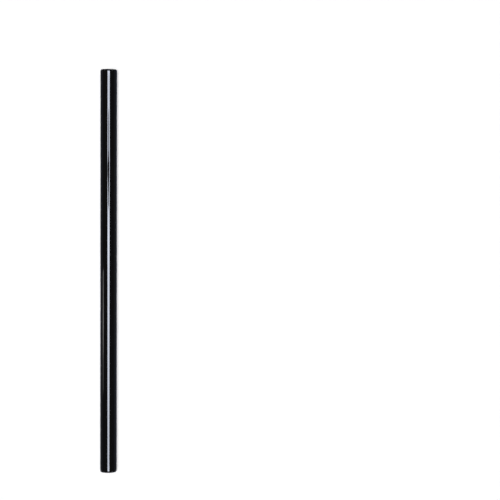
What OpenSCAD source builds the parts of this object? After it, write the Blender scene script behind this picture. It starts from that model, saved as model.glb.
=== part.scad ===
// Straight drinking straw: one length of drawn glass tube, black right through, cut off and
// melted round at both mouths. It lies on the ground along Y, the way such a tube comes to rest,
// with the middle of its length over the origin.

/* [Tube] */
// Length of the straw over both rims
tube_length = 195; // [100:1:300]
// Outer diameter of the tube
tube_outer_d = 8; // [6:0.1:14]
// Thickness of the glass
wall = 1.5; // [0.8:0.1:2.5]

/* [Hidden] */
// Steps round the tube
steps_round = 96;
// Radius of the outside of the tube, which is also how high its axis lies
outer_r = tube_outer_d / 2;
// Radius of the bore
bore_r = outer_r - wall;
// The flame rounds the whole end of the wall, so the rim is a half circle as thick as the glass
rim_r = wall / 2;
// Length of the straight wall between the two rims
straight_length = tube_length - 2 * rim_r;

// Half of the straw cut lengthwise, with the bore's radius along X and the length along Y
module wall_section() {
    translate([bore_r, -straight_length / 2]) square([wall, straight_length]);
    for (end = [-1, 1])
        translate([bore_r + rim_r, end * straight_length / 2]) circle(r = rim_r, $fn = steps_round);
}

// The glass tube with its open bore, lying along Y
module straw() {
    color([0.02, 0.02, 0.024])
        translate([0, 0, outer_r])
            rotate([90, 0, 0])
                rotate_extrude($fn = steps_round) wall_section();
}

straw();
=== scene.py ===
"""A straight drinking straw of black glass, lying on a plain pale floor and seen from right above.

Everything is in metres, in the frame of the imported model: the straw lies along Y, Z is up.
"""

import bpy
import numpy as np
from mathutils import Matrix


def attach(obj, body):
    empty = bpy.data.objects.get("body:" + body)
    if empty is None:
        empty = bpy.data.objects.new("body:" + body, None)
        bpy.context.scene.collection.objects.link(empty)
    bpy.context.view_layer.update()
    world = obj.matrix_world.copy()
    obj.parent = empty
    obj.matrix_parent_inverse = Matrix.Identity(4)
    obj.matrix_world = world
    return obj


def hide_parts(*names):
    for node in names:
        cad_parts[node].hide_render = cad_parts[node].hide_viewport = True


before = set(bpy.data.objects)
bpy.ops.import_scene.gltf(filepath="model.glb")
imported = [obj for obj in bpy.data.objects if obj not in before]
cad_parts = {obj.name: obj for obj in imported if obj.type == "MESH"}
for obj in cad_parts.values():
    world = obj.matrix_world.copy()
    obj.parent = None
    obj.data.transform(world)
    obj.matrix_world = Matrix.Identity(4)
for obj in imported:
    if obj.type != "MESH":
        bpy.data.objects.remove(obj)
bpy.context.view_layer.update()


# The straw: one length of borosilicate tube, black right through. The tube is drawn hot from
# the furnace, scored and snapped to length, and each mouth is turned in a flame until its cut
# edge melts round.
STRAW_LENGTH = 0.195
OUTER_RADIUS = 0.004
WALL = 0.0015
BORE_RADIUS = OUTER_RADIUS - WALL
# Each melted lip: the radius of its crest, how far it reaches past the straight wall, and how
# square its section stays. The near one is melted a little further, so it is rounder
FAR_CREST = 0.00330
FAR_LIP = 0.00110
FAR_LIP_SQUARENESS = 2.6
NEAR_CREST = 0.00320
NEAR_LIP = 0.00120
NEAR_LIP_SQUARENESS = 2.1
# How far drawing leaves the tube oval, how many radians a metre the oval twists, and how far and
# over what lengths the tube swells and thins
OVAL = 0.000008
OVAL_TWIST = 11.0
LONG_SWELL = 0.000005
LONG_SWELL_WAVE = 0.071
SHORT_SWELL = 0.000003
SHORT_SWELL_WAVE = 0.029
SHORT_SWELL_START = 1.0
STEPS_ROUND = 192
STEPS_ALONG = 120
STEPS_OVER_LIP = 22


def melted_lip(steps, crest, reach, squareness):
    """Section of a melted lip, from the outside of the wall over to the bore.

    Two quarter superellipses that meet at the crest: with t from 0 to half a turn, the distance
    from the crest's radius is |cos t| to the power 2/squareness, times the way out to the outside
    of the wall in the first quarter and the way in to the bore in the second. The way past the
    straight wall is reach times sin t to that power. Both ends are left out, because the
    straight walls have them.
    """
    t = np.linspace(0.0, np.pi, steps + 1)[1:-1]
    power = 2.0 / squareness
    side = np.where(np.cos(t) > 0, OUTER_RADIUS - crest, BORE_RADIUS - crest)
    radius = crest + side * np.abs(np.cos(t)) ** power
    past = np.sin(t) ** power * reach
    return radius, past


def tube_section():
    """Closed section of the glass as distances from the axis and places along it.

    It runs up the outside, over the far lip, down the bore and over the near lip. The rows of
    the straight walls crowd towards the mouths: place = half length times sin of an even sweep.
    """
    far_end = STRAW_LENGTH / 2 - FAR_LIP
    near_end = -STRAW_LENGTH / 2 + NEAR_LIP
    sweep = np.sin(np.linspace(-np.pi / 2, np.pi / 2, STEPS_ALONG + 1))
    outside = near_end + (sweep + 1) / 2 * (far_end - near_end)
    far_radius, far_past = melted_lip(STEPS_OVER_LIP, FAR_CREST, FAR_LIP, FAR_LIP_SQUARENESS)
    near_radius, near_past = melted_lip(STEPS_OVER_LIP, NEAR_CREST, NEAR_LIP, NEAR_LIP_SQUARENESS)
    radius = np.concatenate([
        np.full(outside.size, OUTER_RADIUS),
        far_radius,
        np.full(outside.size, BORE_RADIUS),
        near_radius[::-1],
    ])
    place = np.concatenate([
        outside,
        far_end + far_past,
        outside[::-1],
        near_end - near_past[::-1],
    ])
    return radius, place


def drawn_glass(radius, place):
    """Points of the tube on a grid of angle and section.

    Each point of the section is turned about the axis. Its distance from the axis varies by what
    drawing does to glass: a faint oval that twists slowly along the tube, plus a faint swelling
    and thinning along it, under a hundredth of a millimetre each.
    """
    turn = np.linspace(0.0, 2 * np.pi, STEPS_ROUND, endpoint=False)[None, :]
    radius = radius[:, None]
    place = place[:, None]
    oval = OVAL * np.cos(2 * turn + OVAL_TWIST * place)
    long_swell = LONG_SWELL * np.sin(2 * np.pi * place / LONG_SWELL_WAVE)
    short_swell = SHORT_SWELL * np.sin(2 * np.pi * place / SHORT_SWELL_WAVE + SHORT_SWELL_START)
    distance = radius + oval + (long_swell + short_swell)
    x = distance * np.sin(turn)
    y = np.broadcast_to(place, x.shape)
    z = distance * np.cos(turn)
    points = np.stack([x, y, z], axis=-1).reshape(-1, 3)
    points[:, 2] -= points[:, 2].min()
    return points


def ring_faces(rows, columns):
    """Quads of a grid that closes on itself both ways, wound so that they face out of the glass."""
    row = np.arange(rows)[:, None]
    column = np.arange(columns)[None, :]
    next_row = (row + 1) % rows
    next_column = (column + 1) % columns
    corners = [row * columns + column, row * columns + next_column,
               next_row * columns + next_column, next_row * columns + column]
    return np.stack([np.broadcast_to(c, (rows, columns)) for c in corners], axis=-1).reshape(-1, 4)


section_radius, section_place = tube_section()
straw_mesh = bpy.data.meshes.new("glass_straw")
straw_mesh.from_pydata(
    drawn_glass(section_radius, section_place).tolist(),
    [],
    ring_faces(section_radius.size, STEPS_ROUND).tolist(),
)
straw_mesh.polygons.foreach_set("use_smooth", np.ones(len(straw_mesh.polygons), dtype=bool))
straw_mesh.update()
straw = bpy.data.objects.new("glass_straw", straw_mesh)
bpy.context.scene.collection.objects.link(straw)

# The glass: black, with a clear fire-polished surface and a breath of blue towards its sides
GLASS_IOR = 1.47
black_glass = bpy.data.materials.new("black_glass")
black_glass.use_nodes = True
nodes = black_glass.node_tree.nodes
links = black_glass.node_tree.links
glass = nodes["Principled BSDF"]
glass.inputs["IOR"].default_value = GLASS_IOR
glass.inputs["Metallic"].default_value = 0.0
glass.inputs["Transmission Weight"].default_value = 0.0
glass.inputs["Specular IOR Level"].default_value = 0.0
glass.inputs["Coat IOR"].default_value = GLASS_IOR
glass.inputs["Coat Roughness"].default_value = 0.03
glass.inputs["Sheen Weight"].default_value = 0.07
glass.inputs["Sheen Roughness"].default_value = 0.4
glass.inputs["Sheen Tint"].default_value = (0.10, 0.25, 1.0, 1.0)

coordinates = nodes.new("ShaderNodeTexCoord")

# Colour: drawn batches of black glass run from blue-black to brown-black in long faint streaks
streak_place = nodes.new("ShaderNodeMapping")
streak_place.inputs["Scale"].default_value = (420.0, 14.0, 420.0)
streak_noise = nodes.new("ShaderNodeTexNoise")
streak_noise.inputs["Scale"].default_value = 1.0
streak_noise.inputs["Detail"].default_value = 3.0
streak_colour = nodes.new("ShaderNodeValToRGB")
streak_colour.color_ramp.elements[0].position = 0.35
streak_colour.color_ramp.elements[0].color = (0.0031, 0.0031, 0.0037, 1.0)
streak_colour.color_ramp.elements[1].position = 0.65
streak_colour.color_ramp.elements[1].color = (0.0042, 0.0041, 0.0039, 1.0)
links.new(coordinates.outputs["Object"], streak_place.inputs["Vector"])
links.new(streak_place.outputs["Vector"], streak_noise.inputs["Vector"])
links.new(streak_noise.outputs["Fac"], streak_colour.inputs["Fac"])
links.new(streak_colour.outputs["Color"], glass.inputs["Base Color"])

# Haze: a breath of it, left in patches by handling
haze_noise = nodes.new("ShaderNodeTexNoise")
haze_noise.inputs["Scale"].default_value = 90.0
haze_noise.inputs["Detail"].default_value = 4.0
haze_range = nodes.new("ShaderNodeMapRange")
haze_range.inputs["From Min"].default_value = 0.3
haze_range.inputs["From Max"].default_value = 0.75
haze_range.inputs["To Min"].default_value = 0.025
haze_range.inputs["To Max"].default_value = 0.06
links.new(coordinates.outputs["Object"], haze_noise.inputs["Vector"])
links.new(haze_noise.outputs["Fac"], haze_range.inputs["Value"])
links.new(haze_range.outputs["Result"], glass.inputs["Roughness"])

# Draw lines: hair-fine ridges that the drawing leaves along the tube
line_place = nodes.new("ShaderNodeMapping")
line_place.inputs["Scale"].default_value = (900.0, 9.0, 900.0)
line_noise = nodes.new("ShaderNodeTexNoise")
line_noise.inputs["Scale"].default_value = 1.0
line_noise.inputs["Detail"].default_value = 2.0
line_bump = nodes.new("ShaderNodeBump")
line_bump.inputs["Strength"].default_value = 0.25
line_bump.inputs["Distance"].default_value = 0.00002
links.new(coordinates.outputs["Object"], line_place.inputs["Vector"])
links.new(line_place.outputs["Vector"], line_noise.inputs["Vector"])
links.new(line_noise.outputs["Fac"], line_bump.inputs["Height"])
links.new(line_bump.outputs["Normal"], glass.inputs["Normal"])
links.new(line_bump.outputs["Normal"], glass.inputs["Coat Normal"])


def math_node(nodes, operation):
    """A math node that does one operation."""
    node = nodes.new("ShaderNodeMath")
    node.operation = operation
    return node


# The polish mirrors what is in front of it and gives way to the black of the glass towards the
# two sides of the tube. What counts is the angle round the tube, so the facing cosine is divided
# by the sine of the angle between the view and the tube's own axis. The polish is full above the
# front cosine, and only the sides' share of it is left below the side cosine
FRONT_COSINE = 0.88
SIDE_COSINE = 0.74
SIDE_POLISH = 0.12
facing = nodes.new("ShaderNodeLayerWeight")
facing.inputs["Blend"].default_value = 0.5
facing_cosine = math_node(nodes, 'SUBTRACT')
facing_cosine.inputs[0].default_value = 1.0
tube_axis = nodes.new("ShaderNodeVectorTransform")
tube_axis.vector_type = 'VECTOR'
tube_axis.convert_from = 'OBJECT'
tube_axis.convert_to = 'WORLD'
tube_axis.inputs["Vector"].default_value = (0.0, 1.0, 0.0)
along = nodes.new("ShaderNodeLayerWeight")
along.inputs["Blend"].default_value = 0.5
along_cosine = math_node(nodes, 'SUBTRACT')
along_cosine.inputs[0].default_value = 1.0
along_squared = math_node(nodes, 'MULTIPLY')
across_squared = math_node(nodes, 'SUBTRACT')
across_squared.inputs[0].default_value = 1.0
across = math_node(nodes, 'SQRT')
around_cosine = math_node(nodes, 'DIVIDE')
polish = nodes.new("ShaderNodeMapRange")
polish.interpolation_type = 'SMOOTHSTEP'
polish.inputs["From Min"].default_value = SIDE_COSINE
polish.inputs["From Max"].default_value = FRONT_COSINE
polish.inputs["To Min"].default_value = SIDE_POLISH
polish.inputs["To Max"].default_value = 1.0
links.new(facing.outputs["Facing"], facing_cosine.inputs[1])
links.new(tube_axis.outputs["Vector"], along.inputs["Normal"])
links.new(along.outputs["Facing"], along_cosine.inputs[1])
links.new(along_cosine.outputs["Value"], along_squared.inputs[0])
links.new(along_cosine.outputs["Value"], along_squared.inputs[1])
links.new(along_squared.outputs["Value"], across_squared.inputs[1])
links.new(across_squared.outputs["Value"], across.inputs[0])
links.new(facing_cosine.outputs["Value"], around_cosine.inputs[0])
links.new(across.outputs["Value"], around_cosine.inputs[1])
links.new(around_cosine.outputs["Value"], polish.inputs["Value"])
links.new(polish.outputs["Result"], glass.inputs["Coat Weight"])
straw_mesh.materials.append(black_glass)

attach(straw, "root")
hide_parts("straw")


# The floor: a wide round sheet of matt white board under the straw. The board itself is lit, and
# the little that it lacks of white is added for the eye and for what mirrors it, so that the
# straw's soft shadow stays.
FLOOR_RADIUS = 9.0
FLOOR_RINGS = 12
FLOOR_SPOKES = 96
BOARD_WHITE = 0.68
BOARD_TOP_UP = 0.32


def round_sheet(radius, rings, spokes):
    """Points of a flat disc: ring k has radius times (k / rings) squared, over even angles."""
    out = radius * (np.arange(1, rings + 1) / rings)[:, None] ** 2
    turn = np.linspace(0.0, 2 * np.pi, spokes, endpoint=False)[None, :]
    flat = np.stack([out * np.cos(turn), out * np.sin(turn), np.zeros((rings, spokes))], axis=-1)
    return np.concatenate([[[0.0, 0.0, 0.0]], flat.reshape(-1, 3)])


def round_sheet_faces(rings, spokes):
    """Triangles round the middle point, then quads between each ring and the next, facing up."""
    column = np.arange(spokes)
    next_column = (column + 1) % spokes
    middle = np.stack([np.zeros(spokes, int), 1 + column, 1 + next_column], axis=-1)
    inner = (1 + np.arange(rings - 1) * spokes)[:, None]
    quads = np.stack([inner + column, inner + spokes + column,
                      inner + spokes + next_column, inner + next_column], axis=-1)
    return middle.tolist() + quads.reshape(-1, 4).tolist()


floor_mesh = bpy.data.meshes.new("floor")
floor_mesh.from_pydata(
    round_sheet(FLOOR_RADIUS, FLOOR_RINGS, FLOOR_SPOKES).tolist(),
    [],
    round_sheet_faces(FLOOR_RINGS, FLOOR_SPOKES),
)
floor_mesh.update()
floor = bpy.data.objects.new("floor", floor_mesh)
bpy.context.scene.collection.objects.link(floor)

white_board = bpy.data.materials.new("white_board")
white_board.use_nodes = True
nodes = white_board.node_tree.nodes
links = white_board.node_tree.links
board = nodes["Principled BSDF"]
board.inputs["Base Color"].default_value = (BOARD_WHITE, BOARD_WHITE, BOARD_WHITE, 1.0)
board.inputs["Roughness"].default_value = 1.0
board.inputs["Specular IOR Level"].default_value = 0.0
board.inputs["Emission Color"].default_value = (1.0, 1.0, 1.0, 1.0)
light_path = nodes.new("ShaderNodeLightPath")
eye_or_mirror = math_node(nodes, 'ADD')
eye_mirror_or_glass = math_node(nodes, 'ADD')
eye_mirror_or_glass.use_clamp = True
top_up = math_node(nodes, 'MULTIPLY')
top_up.inputs[1].default_value = BOARD_TOP_UP
links.new(light_path.outputs["Is Camera Ray"], eye_or_mirror.inputs[0])
links.new(light_path.outputs["Is Glossy Ray"], eye_or_mirror.inputs[1])
links.new(eye_or_mirror.outputs["Value"], eye_mirror_or_glass.inputs[0])
links.new(light_path.outputs["Is Transmission Ray"], eye_mirror_or_glass.inputs[1])
links.new(eye_mirror_or_glass.outputs["Value"], top_up.inputs[0])
links.new(top_up.outputs["Value"], board.inputs["Emission Strength"])
floor_mesh.materials.append(white_board)


# The studio: one wide soft lamp overhead gives the plain level. A bright card over the camera
# gives the long highlight, a small low one on the left the faint second line. The room is dark,
# and a little lighter towards the floor.
key_data = bpy.data.lights.new("overhead_light", 'SUN')
key_data.angle = np.radians(24.0)
key_data.energy = np.pi
key = bpy.data.objects.new("overhead_light", key_data)
key.visible_glossy = False
bpy.context.scene.collection.objects.link(key)

# The cards' slightly cold white, and the height at which the cards over the straw hang
CARD_TINT = (0.94, 1.0, 1.16, 1.0)
CARD_HEIGHT = 1.2
# The long card: its near and far edge, and where each of them starts and stops across the room
NEAR_EDGE = -0.3068
FAR_EDGE = 0.2147
NEAR_LEFT = -0.160
NEAR_RIGHT = 0.345
FAR_LEFT = -0.224
FAR_RIGHT = 0.402
LONG_CARD_STRENGTH = 27.6


def flat_card(name, corners):
    """A rectangle through four corners, given round its rim, as a mesh with a 0 to 1 UV map."""
    mesh = bpy.data.meshes.new(name)
    mesh.from_pydata(corners, [], [(0, 1, 2, 3)])
    uv = mesh.uv_layers.new(name="card")
    uv.data.foreach_set("uv", [0.0, 0.0, 1.0, 0.0, 1.0, 1.0, 0.0, 1.0])
    mesh.update()
    card = bpy.data.objects.new(name, mesh)
    bpy.context.scene.collection.objects.link(card)
    card.visible_camera = False
    card.visible_diffuse = False
    card.visible_shadow = False
    return card


def glow_material(name):
    """A material that only glows, given with its emission node."""
    glow = bpy.data.materials.new(name)
    glow.use_nodes = True
    glow.node_tree.nodes.clear()
    light = glow.node_tree.nodes.new("ShaderNodeEmission")
    output = glow.node_tree.nodes.new("ShaderNodeOutputMaterial")
    glow.node_tree.links.new(light.outputs["Emission"], output.inputs["Surface"])
    return glow, light


def card_axes(nodes, links):
    """The card's own UV map, split into X along its first edge and Y along its second."""
    place = nodes.new("ShaderNodeUVMap")
    place.uv_map = "card"
    axes = nodes.new("ShaderNodeSeparateXYZ")
    links.new(place.outputs["UV"], axes.inputs["Vector"])
    return axes


def ramp_node(nodes, stops, interpolation):
    """A grey colour ramp through (place, level) stops."""
    node = nodes.new("ShaderNodeValToRGB")
    ramp = node.color_ramp
    ramp.interpolation = interpolation
    while len(ramp.elements) < len(stops):
        ramp.elements.new(0.5)
    for element, (place, level) in zip(ramp.elements, stops):
        element.position = place
        element.color = (level, level, level, 1.0)
    return node


long_card = flat_card("long_card", [
    (NEAR_LEFT, NEAR_EDGE, CARD_HEIGHT),
    (NEAR_RIGHT, NEAR_EDGE, CARD_HEIGHT),
    (FAR_RIGHT, FAR_EDGE, CARD_HEIGHT),
    (FAR_LEFT, FAR_EDGE, CARD_HEIGHT),
])
card_glow, card_light = glow_material("card_glow")
card_light.inputs["Color"].default_value = CARD_TINT
nodes = card_glow.node_tree.nodes
links = card_glow.node_tree.links
long_axes = card_axes(nodes, links)
# How bright the card is from its near edge to its far one
card_level = ramp_node(nodes, [
    (0.0, 0.72), (0.0412, 0.72), (0.0430, 0.49), (0.112, 0.50), (0.227, 0.56), (0.330, 0.58),
    (0.408, 0.62), (0.500, 0.62), (0.571, 0.70), (0.639, 0.60), (0.690, 0.66), (0.733, 1.2),
    (0.777, 0.66), (0.897, 0.56), (0.9580, 0.54), (0.9597, 0.72), (1.0, 0.72),
], 'EASE')
# The dark gap in the card: half its width at each place along the card, and where its middle is
gap_width = ramp_node(nodes, [
    (0.643, 0.0), (0.657, 0.18), (0.685, 0.20), (0.725, 0.43), (0.742, 0.43), (0.777, 0.18),
    (0.832, 0.17), (0.860, 0.14), (0.874, 0.0),
], 'LINEAR')
GAP_MIDDLE = 0.46
GAP_SOFTNESS = 0.01
gap_side = math_node(nodes, 'SUBTRACT')
gap_side.inputs[1].default_value = GAP_MIDDLE
gap_far = math_node(nodes, 'ABSOLUTE')
gap_past = math_node(nodes, 'SUBTRACT')
gap_open = nodes.new("ShaderNodeMapRange")
gap_open.interpolation_type = 'SMOOTHSTEP'
gap_open.inputs["From Min"].default_value = -GAP_SOFTNESS
gap_open.inputs["From Max"].default_value = GAP_SOFTNESS
card_shade = math_node(nodes, 'MULTIPLY')
card_strength = math_node(nodes, 'MULTIPLY')
card_strength.inputs[1].default_value = LONG_CARD_STRENGTH
links.new(long_axes.outputs["Y"], card_level.inputs["Fac"])
links.new(long_axes.outputs["Y"], gap_width.inputs["Fac"])
links.new(long_axes.outputs["X"], gap_side.inputs[0])
links.new(gap_side.outputs["Value"], gap_far.inputs[0])
links.new(gap_far.outputs["Value"], gap_past.inputs[0])
links.new(gap_width.outputs["Color"], gap_past.inputs[1])
links.new(gap_past.outputs["Value"], gap_open.inputs["Value"])
links.new(card_level.outputs["Color"], card_shade.inputs[0])
links.new(gap_open.outputs["Result"], card_shade.inputs[1])
links.new(card_shade.outputs["Value"], card_strength.inputs[0])
links.new(card_strength.outputs["Value"], card_light.inputs["Strength"])
long_card.data.materials.append(card_glow)

# The low card stands upright on the left, a metre away
LOW_CARD_AWAY = -1.0
LOW_CARD_NEAR = -0.1735
LOW_CARD_FAR = -0.0395
LOW_CARD_FOOT = 0.057
LOW_CARD_TOP = 0.382
LOW_CARD_STRENGTH = 17.0
low_card = flat_card("low_card", [
    (LOW_CARD_AWAY, LOW_CARD_NEAR, LOW_CARD_FOOT),
    (LOW_CARD_AWAY, LOW_CARD_FAR, LOW_CARD_FOOT),
    (LOW_CARD_AWAY, LOW_CARD_FAR, LOW_CARD_TOP),
    (LOW_CARD_AWAY, LOW_CARD_NEAR, LOW_CARD_TOP),
])
low_glow, low_light = glow_material("low_glow")
nodes = low_glow.node_tree.nodes
links = low_glow.node_tree.links
low_axes = card_axes(nodes, links)
low_level = ramp_node(nodes, [
    (0.0, 0.20), (0.25, 0.27), (0.45, 0.69), (0.60, 0.82), (0.8, 0.55), (1.0, 0.50),
], 'EASE')
low_strength = math_node(nodes, 'MULTIPLY')
low_strength.inputs[1].default_value = LOW_CARD_STRENGTH
links.new(low_axes.outputs["X"], low_level.inputs["Fac"])
links.new(low_level.outputs["Color"], low_strength.inputs[0])
links.new(low_strength.outputs["Value"], low_light.inputs["Strength"])
low_card.data.materials.append(low_glow)

# Past each end of the long card hangs a brighter one, which lights up the lip. Strips and screens
# farther out, and one screen towards each corner of the room, give the straw its line of light
# when it is looked at along its length or from a corner
STRIP_START = 1.2
STRIP_STOP = 2.3
SCREEN_AWAY = 3.6
SCREEN_SIDE = 0.5
SCREEN_FOOT = 0.7
SCREEN_TOP = 1.5
CORNER_OUTER = 2.35
CORNER_INNER = 1.45
CORNER_FOOT = 0.6
CORNER_TOP = 0.93


def plain_glow(name, strength):
    """A glow of one strength all over, in the cards' tint."""
    glow, light = glow_material(name)
    light.inputs["Color"].default_value = CARD_TINT
    light.inputs["Strength"].default_value = strength
    return glow


lip_glow = plain_glow("lip_glow", 20.0)
strip_glow = plain_glow("strip_glow", 7.0)
screen_glow = plain_glow("screen_glow", 2.2)
corner_glow = plain_glow("corner_glow", 9.0)
for end_name, side, left, right, first, last in (
    ("near", -1, NEAR_LEFT, NEAR_RIGHT, 0.32, 0.62),
    ("far", 1, FAR_LEFT, FAR_RIGHT, 0.22, 0.32),
):
    lip_card = flat_card(end_name + "_lip_card", [
        (left, side * first, CARD_HEIGHT),
        (right, side * first, CARD_HEIGHT),
        (right, side * last, CARD_HEIGHT),
        (left, side * last, CARD_HEIGHT),
    ])
    lip_card.data.materials.append(lip_glow)
    strip = flat_card(end_name + "_strip", [
        (left, side * STRIP_START, CARD_HEIGHT),
        (right, side * STRIP_START, CARD_HEIGHT),
        (right, side * STRIP_STOP, CARD_HEIGHT),
        (left, side * STRIP_STOP, CARD_HEIGHT),
    ])
    strip.data.materials.append(strip_glow)
    screen = flat_card(end_name + "_screen", [
        (-SCREEN_SIDE, side * SCREEN_AWAY, SCREEN_FOOT),
        (SCREEN_SIDE, side * SCREEN_AWAY, SCREEN_FOOT),
        (SCREEN_SIDE, side * SCREEN_AWAY, SCREEN_TOP),
        (-SCREEN_SIDE, side * SCREEN_AWAY, SCREEN_TOP),
    ])
    screen.data.materials.append(screen_glow)
    for across_name, across_side in (("left", -1), ("right", 1)):
        corner_screen = flat_card(end_name + "_" + across_name + "_screen", [
            (across_side * CORNER_OUTER, side * CORNER_INNER, CORNER_FOOT),
            (across_side * CORNER_INNER, side * CORNER_OUTER, CORNER_FOOT),
            (across_side * CORNER_INNER, side * CORNER_OUTER, CORNER_TOP),
            (across_side * CORNER_OUTER, side * CORNER_INNER, CORNER_TOP),
        ])
        corner_screen.data.materials.append(corner_glow)

room = bpy.data.worlds.new("room")
bpy.context.scene.world = room
room.use_nodes = True
nodes = room.node_tree.nodes
links = room.node_tree.links
room_light = nodes["Background"]
direction = nodes.new("ShaderNodeTexCoord")
height = nodes.new("ShaderNodeSeparateXYZ")
room_ramp = ramp_node(nodes, [(0.0, 0.2), (0.45, 0.03)], 'EASE')
links.new(direction.outputs["Generated"], height.inputs["Vector"])
links.new(height.outputs["Z"], room_ramp.inputs["Fac"])
links.new(room_ramp.outputs["Color"], room_light.inputs["Color"])


# The camera: a portrait lens above the straw, a little nearer to its far mouth, with the straw
# left of the middle.
CAMERA_PLACE = (0.06839, 0.031, 0.814)
CAMERA_LEAN_DEGREES = -1.4478
CAMERA_ROLL_DEGREES = 0.1709
camera_data = bpy.data.cameras.new("camera")
camera_data.lens = 120.495
camera_data.sensor_width = 36.0
camera = bpy.data.objects.new("camera", camera_data)
camera.location = CAMERA_PLACE
camera.rotation_euler = (np.radians(CAMERA_LEAN_DEGREES), 0.0, np.radians(CAMERA_ROLL_DEGREES))
bpy.context.scene.collection.objects.link(camera)
bpy.context.scene.camera = camera

bpy.context.scene.view_settings.view_transform = 'Standard'
